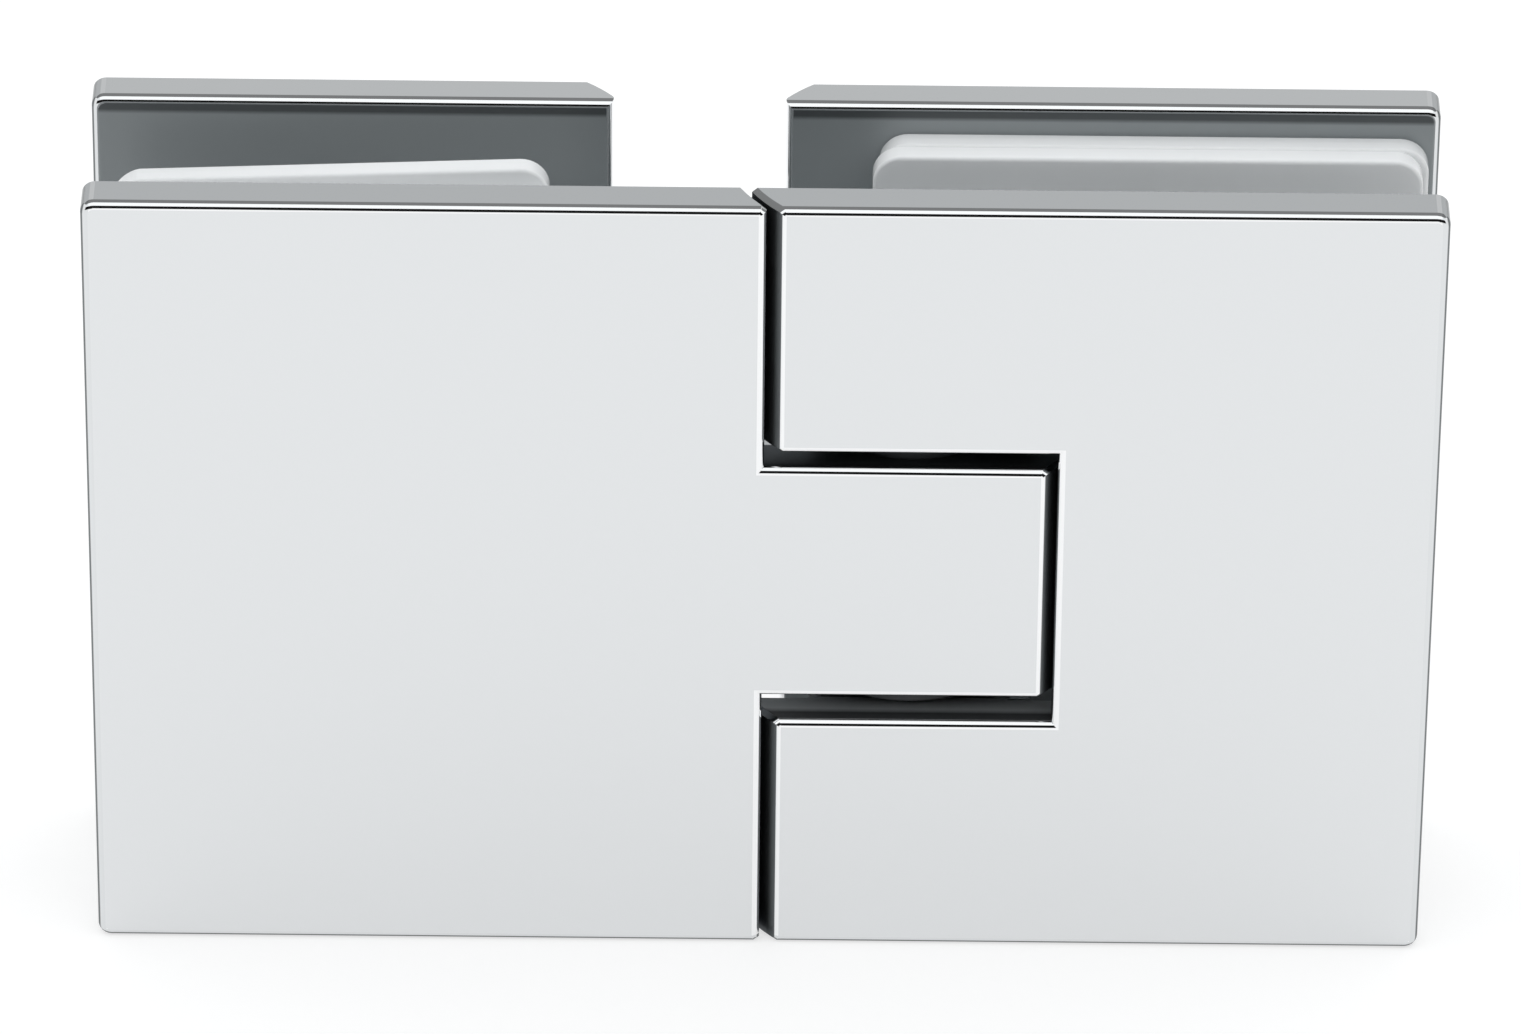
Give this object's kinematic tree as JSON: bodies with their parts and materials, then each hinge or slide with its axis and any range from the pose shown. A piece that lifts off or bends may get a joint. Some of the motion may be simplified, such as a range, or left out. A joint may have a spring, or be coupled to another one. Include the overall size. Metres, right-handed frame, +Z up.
{
  "type": "glass door hinge",
  "caption": "Polished glass-to-glass shower door hinge: two clamping leaves with gaskets, joined by a self-centring knuckle that opens both ways.",
  "frame": {"origin": "on the pivot axis, at mid height and in the middle plane of the glass", "axes": "+Z up along the pivot axis, +X towards the door leaf, -Y towards the polished front"},
  "size_m": [0.14, 0.0264, 0.09],
  "materials": {
    "chrome_front": "chrome-plated and mirror-polished brass casting",
    "chrome_back": "chrome-plated and mirror-polished brass plate",
    "steel_shaft": "turned and ground stainless steel",
    "spring_steel": "flat spring wire",
    "black_steel": "black-oxide steel set screws",
    "steel_screw": "stainless steel countersunk socket screws",
    "nylon_bush": "black nylon",
    "nylon_sleeve": "white nylon",
    "gasket_pvc": "milky translucent soft PVC"
  },
  "bodies": {
    "fixed_leaf": {"bush_lower": "nylon_bush", "bush_upper": "nylon_bush", "fixed_back_plate": "chrome_back", "fixed_front_plate": "chrome_front", "fixed_gasket_back": "gasket_pvc", "fixed_gasket_front": "gasket_pvc", "fixed_screw_lower": "steel_screw", "fixed_screw_upper": "steel_screw", "fixed_sleeve_lower": "nylon_sleeve", "fixed_sleeve_upper": "nylon_sleeve", "plunger_lower": "steel_shaft", "plunger_plug_lower": "black_steel", "plunger_plug_upper": "black_steel", "plunger_spring_lower": "spring_steel", "plunger_spring_upper": "spring_steel", "plunger_upper": "steel_shaft"},
    "door_leaf": {"door_back_plate": "chrome_back", "door_front_plate": "chrome_front", "door_gasket_back": "gasket_pvc", "door_gasket_front": "gasket_pvc", "door_screw_lower": "steel_screw", "door_screw_upper": "steel_screw", "door_sleeve_lower": "nylon_sleeve", "door_sleeve_upper": "nylon_sleeve", "pivot_shaft": "steel_shaft", "shaft_set_screw_lower": "black_steel", "shaft_set_screw_upper": "black_steel"}
  },
  "joints": [
    {"name": "door_swing", "type": "hinge", "parent": "fixed_leaf", "child": "door_leaf", "pos_m": [0, 0, 0], "axis": [0, 0, 1], "range_deg": [-90, 90]}
  ]
}
